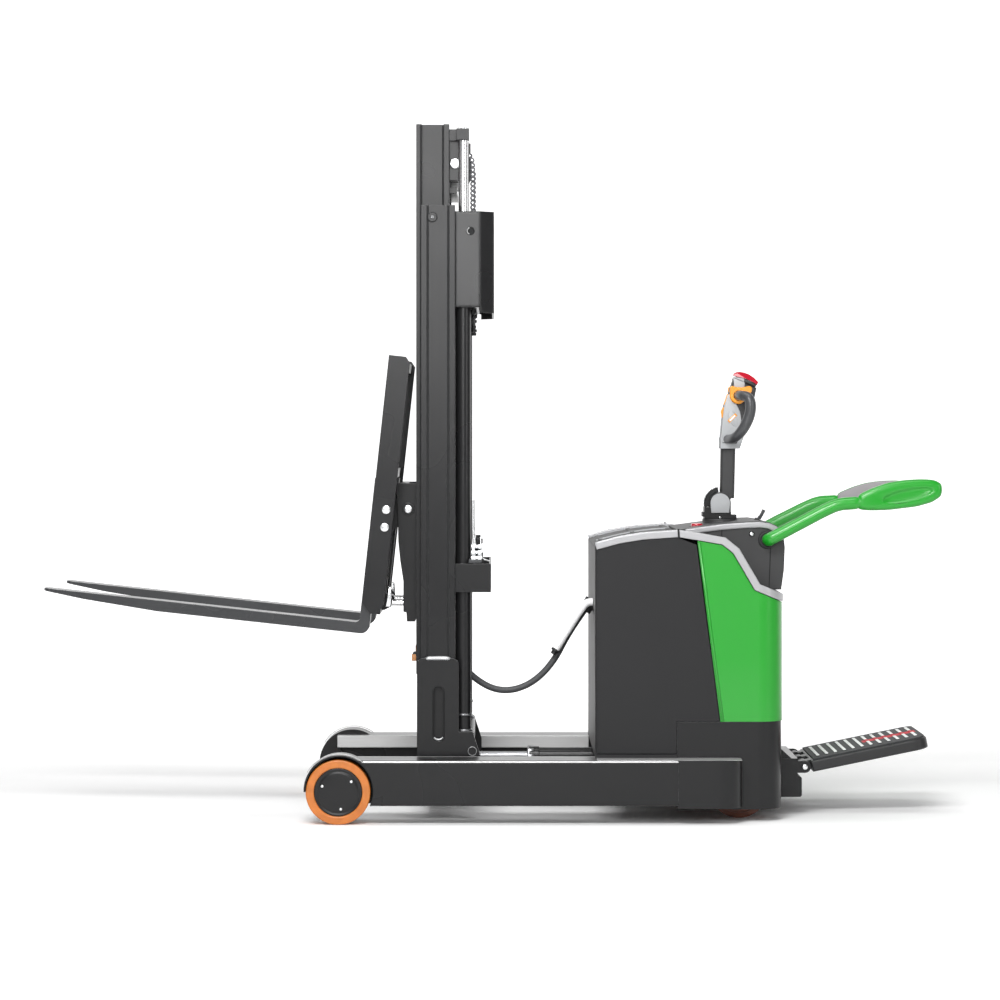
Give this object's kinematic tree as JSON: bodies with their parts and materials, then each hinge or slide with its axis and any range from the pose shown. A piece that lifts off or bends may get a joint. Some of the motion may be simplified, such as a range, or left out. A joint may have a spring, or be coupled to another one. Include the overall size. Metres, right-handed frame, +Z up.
{
  "type": "electric reach stacker",
  "caption": "Electric stacker with straddle legs, a reaching nested mast, tilting forks, tiller steering, a fold-down platform and swing-down side arms.",
  "frame": {"origin": "on the floor, in the middle of the box round the truck", "axes": "+X towards the operator's platform, forks towards -X, the operator's left at -Y, +Z up"},
  "size_m": [2.9547, 1.09, 2.287],
  "materials": {
    "leg_paint": "satin dark grey paint",
    "rail_steel": "machined, bright",
    "tyre_polyurethane": "cast orange polyurethane",
    "hub_paint": "satin dark paint",
    "body_paint": "fine textured black paint",
    "panel_paint": "satin dark grey paint",
    "cover_green": "moulded green cover",
    "trim_silver": "pale silver strip",
    "cowl_plastic": "moulded dark grey cowl",
    "battery_case": "dull case",
    "pump_paint": "painted steel",
    "mast_paint": "satin dark grey paint",
    "rod_chrome": "hard chrome",
    "roller_steel": "turned steel",
    "chain_steel": "oiled steel",
    "deck_paint": "satin black paint",
    "mat_rubber": "ribbed mat",
    "drive_iron": "painted casting",
    "castor_steel": "plated steel",
    "castor_tread": "dark tread",
    "tiller_paint": "satin dark paint",
    "head_plastic": "moulded dark grey",
    "grip_plastic": "moulded grip",
    "control_orange": "orange control",
    "control_red": "red control",
    "key_steel": "key",
    "arm_green": "green powder coat",
    "fork_paint": "black paint",
    "hose_rubber": "smooth rubber"
  },
  "bodies": {
    "chassis": {"legs": "leg_paint", "reach_rails": "rail_steel", "chassis_frame": "body_paint", "battery_housing": "panel_paint", "rear_cover": "cover_green", "trim_strips": "trim_silver", "rear_cowl": "cowl_plastic", "top_cover": "cowl_plastic", "battery": "battery_case", "power_pack": "pump_paint", "reach_barrel": "mast_paint", "platform_bracket": "deck_paint", "reach_hose": "hose_rubber"},
    "load_wheel_left": {"load_tyre_left": "tyre_polyurethane", "load_hub_left": "hub_paint"},
    "load_wheel_right": {"load_tyre_right": "tyre_polyurethane", "load_hub_right": "hub_paint"},
    "drive_unit": {"drive_unit": "drive_iron"},
    "drive_wheel": {"drive_wheel": "tyre_polyurethane"},
    "castor_left": {"castor_fork_left": "castor_steel"},
    "castor_right": {"castor_fork_right": "castor_steel"},
    "castor_wheel_left": {"castor_wheel_left": "castor_tread"},
    "castor_wheel_right": {"castor_wheel_right": "castor_tread"},
    "tiller_base": {"tiller_base": "tiller_paint"},
    "tiller": {"tiller_arm": "tiller_paint", "tiller_head": "head_plastic", "tiller_grips": "grip_plastic"},
    "throttle": {"throttle": "control_orange"},
    "belly_button": {"belly_button": "control_red"},
    "lift_rocker": {"lift_rocker": "control_orange"},
    "estop_button": {"estop_button": "control_red"},
    "key": {"key": "key_steel"},
    "arm_left": {"arm_left": "arm_green"},
    "arm_right": {"arm_right": "arm_green"},
    "platform": {"platform_deck": "deck_paint", "platform_mat": "mat_rubber"},
    "outer_mast": {"outer_channels": "mast_paint", "mast_base": "mast_paint", "upper_tie": "mast_paint", "lift_barrels": "mast_paint", "valve_bracket": "mast_paint", "reach_rod": "rod_chrome"},
    "foot_rollers_front": {"foot_rollers_front": "roller_steel"},
    "foot_rollers_rear": {"foot_rollers_rear": "roller_steel"},
    "outer_mast_rollers": {"outer_mast_rollers": "roller_steel"},
    "inner_mast": {"inner_channels": "mast_paint", "crosshead": "mast_paint", "lift_rods": "rod_chrome", "lift_chains": "chain_steel"},
    "chain_pulleys": {"chain_pulleys": "roller_steel"},
    "inner_mast_rollers": {"inner_mast_rollers": "roller_steel"},
    "carriage": {"lift_carriage": "mast_paint", "tilt_barrels": "mast_paint"},
    "carriage_rollers_upper": {"carriage_rollers_upper": "roller_steel"},
    "carriage_rollers_lower": {"carriage_rollers_lower": "roller_steel"},
    "tilt_rods": {"tilt_rods": "rod_chrome"},
    "fork_frame": {"fork_frame": "mast_paint", "load_backrest": "mast_paint"},
    "fork_left": {"fork_left": "fork_paint"},
    "fork_right": {"fork_right": "fork_paint"}
  },
  "joints": [
    {"name": "load_wheel_left_spin", "type": "hinge", "parent": "chassis", "child": "load_wheel_left", "pos_m": [-0.499, -0.497, 0.105], "axis": [0, 1, 0], "continuous": true},
    {"name": "load_wheel_right_spin", "type": "hinge", "parent": "chassis", "child": "load_wheel_right", "pos_m": [-0.499, 0.497, 0.105], "axis": [0, 1, 0], "continuous": true},
    {"name": "drive_steer", "type": "hinge", "parent": "chassis", "child": "drive_unit", "pos_m": [0.769, 0, 0.115], "axis": [0, 0, 1], "range_deg": [-90, 90]},
    {"name": "drive_wheel_spin", "type": "hinge", "parent": "drive_unit", "child": "drive_wheel", "pos_m": [0.769, 0, 0.115], "axis": [0, 1, 0], "continuous": true},
    {"name": "castor_left_swivel", "type": "hinge", "parent": "chassis", "child": "castor_left", "pos_m": [0.775, -0.3, 0.2], "axis": [0, 0, 1], "continuous": true},
    {"name": "castor_right_swivel", "type": "hinge", "parent": "chassis", "child": "castor_right", "pos_m": [0.775, 0.3, 0.2], "axis": [0, 0, 1], "continuous": true},
    {"name": "castor_wheel_left_spin", "type": "hinge", "parent": "castor_left", "child": "castor_wheel_left", "pos_m": [0.81, -0.3, 0.098], "axis": [0, 1, 0], "continuous": true},
    {"name": "castor_wheel_right_spin", "type": "hinge", "parent": "castor_right", "child": "castor_wheel_right", "pos_m": [0.81, 0.3, 0.098], "axis": [0, 1, 0], "continuous": true},
    {"name": "tiller_steer", "type": "hinge", "parent": "chassis", "child": "tiller_base", "pos_m": [0.769, 0, 0.98], "axis": [0, 0, 1], "range_deg": [-90, 90]},
    {"name": "tiller_tilt", "type": "hinge", "parent": "tiller_base", "child": "tiller", "pos_m": [0.767, 0, 1.03], "axis": [0, 1, 0], "range_deg": [0, 65], "stiffness_Nm_per_rad": 8, "springref_deg": -68.75},
    {"name": "throttle_turn", "type": "hinge", "parent": "tiller", "child": "throttle", "pos_m": [0.827, 0, 1.393], "axis": [0, 1, 0], "range_deg": [-25, 25], "stiffness_Nm_per_rad": 0.4},
    {"name": "belly_button_press", "type": "slide", "parent": "tiller", "child": "belly_button", "axis": [0.3983, 0, 0.9173], "range_m": [-0.006, 0], "stiffness_N_per_m": 1500, "springref_m": 0.004},
    {"name": "lift_rocker_turn", "type": "hinge", "parent": "tiller", "child": "lift_rocker", "pos_m": [0.786, 0, 1.336], "axis": [0, 1, 0], "range_deg": [-8, 8], "stiffness_Nm_per_rad": 0.5},
    {"name": "estop_press", "type": "slide", "parent": "chassis", "child": "estop_button", "axis": [0, 0, 1], "range_m": [-0.006, 0]},
    {"name": "key_turn", "type": "hinge", "parent": "chassis", "child": "key", "pos_m": [0.886, -0.09, 0.968], "axis": [0.5, 0, 0.866], "range_deg": [0, 90]},
    {"name": "arm_left_fold", "type": "hinge", "parent": "chassis", "child": "arm_left", "pos_m": [0.905, -0.32, 0.914], "axis": [0, 1, 0], "range_deg": [0, 90]},
    {"name": "arm_right_fold", "type": "hinge", "parent": "chassis", "child": "arm_right", "pos_m": [0.905, 0.32, 0.914], "axis": [0, 1, 0], "range_deg": [0, 90]},
    {"name": "platform_fold", "type": "hinge", "parent": "chassis", "child": "platform", "pos_m": [1.036, 0, 0.158], "axis": [0, -1, 0], "range_deg": [-11.6, 78]},
    {"name": "mast_reach", "type": "slide", "parent": "chassis", "child": "outer_mast", "axis": [1, 0, 0], "range_m": [-0.15, 0.24], "deforming": ["reach_hose"]},
    {"name": "foot_rollers_front_spin", "type": "hinge", "parent": "outer_mast", "child": "foot_rollers_front", "pos_m": [-0.222, 0, 0.1205], "axis": [0, 1, 0], "range_deg": [-200, 320]},
    {"name": "foot_rollers_rear_spin", "type": "hinge", "parent": "outer_mast", "child": "foot_rollers_rear", "pos_m": [-0.072, 0, 0.1205], "axis": [0, 1, 0], "range_deg": [-200, 320]},
    {"name": "mast_lift", "type": "slide", "parent": "outer_mast", "child": "inner_mast", "axis": [0, 0, 1], "range_m": [-0.266, 1.2], "deforming": ["lift_chains"]},
    {"name": "outer_mast_rollers_spin", "type": "hinge", "parent": "outer_mast", "child": "outer_mast_rollers", "pos_m": [-0.1985, 0, 1.976], "axis": [0, 1, 0], "range_deg": [-1920, 430]},
    {"name": "inner_mast_rollers_spin", "type": "hinge", "parent": "inner_mast", "child": "inner_mast_rollers", "pos_m": [-0.18, 0, 0.52], "axis": [0, 1, 0], "range_deg": [-415, 1845]},
    {"name": "chain_pulley_spin", "type": "hinge", "parent": "inner_mast", "child": "chain_pulleys", "pos_m": [-0.125, 0, 2.158], "axis": [0, 1, 0], "range_deg": [-270, 1190]},
    {"name": "carriage_lift", "type": "slide", "parent": "inner_mast", "child": "carriage", "axis": [0, 0, 1], "range_m": [-0.266, 1.2], "deforming": ["lift_chains"]},
    {"name": "carriage_rollers_upper_spin", "type": "hinge", "parent": "carriage", "child": "carriage_rollers_upper", "pos_m": [-0.1985, 0, 1.04], "axis": [0, 1, 0], "range_deg": [-1920, 430]},
    {"name": "carriage_rollers_lower_spin", "type": "hinge", "parent": "carriage", "child": "carriage_rollers_lower", "pos_m": [-0.1985, 0, 0.78], "axis": [0, 1, 0], "range_deg": [-430, 1920]},
    {"name": "fork_tilt", "type": "hinge", "parent": "carriage", "child": "fork_frame", "pos_m": [-0.281, 0, 1.014], "axis": [0, 1, 0], "range_deg": [-9, 0]},
    {"name": "tilt_rod_slide", "type": "slide", "parent": "carriage", "child": "tilt_rods", "axis": [1, 0, 0], "range_m": [-0.001, 0.052]},
    {"name": "fork_left_slide", "type": "slide", "parent": "fork_frame", "child": "fork_left", "axis": [0, 1, 0], "range_m": [0, 0.14]},
    {"name": "fork_right_slide", "type": "slide", "parent": "fork_frame", "child": "fork_right", "axis": [0, 1, 0], "range_m": [-0.14, 0]}
  ],
  "couplings": [
    {"joint": "tiller_steer", "follows": "drive_steer", "ratio": 1},
    {"joint": "foot_rollers_front_spin", "follows": "mast_reach", "rad_per_m": 22.222},
    {"joint": "foot_rollers_rear_spin", "follows": "mast_reach", "rad_per_m": 22.222},
    {"joint": "carriage_lift", "follows": "mast_lift", "ratio": 1},
    {"joint": "outer_mast_rollers_spin", "follows": "mast_lift", "rad_per_m": -27.778},
    {"joint": "inner_mast_rollers_spin", "follows": "mast_lift", "rad_per_m": 26.667},
    {"joint": "chain_pulley_spin", "follows": "mast_lift", "rad_per_m": 17.241},
    {"joint": "carriage_rollers_upper_spin", "follows": "mast_lift", "rad_per_m": -27.778},
    {"joint": "carriage_rollers_lower_spin", "follows": "mast_lift", "rad_per_m": 27.778},
    {"joint": "tilt_rod_slide", "follows": "fork_tilt", "m_per_rad": -0.316}
  ]
}
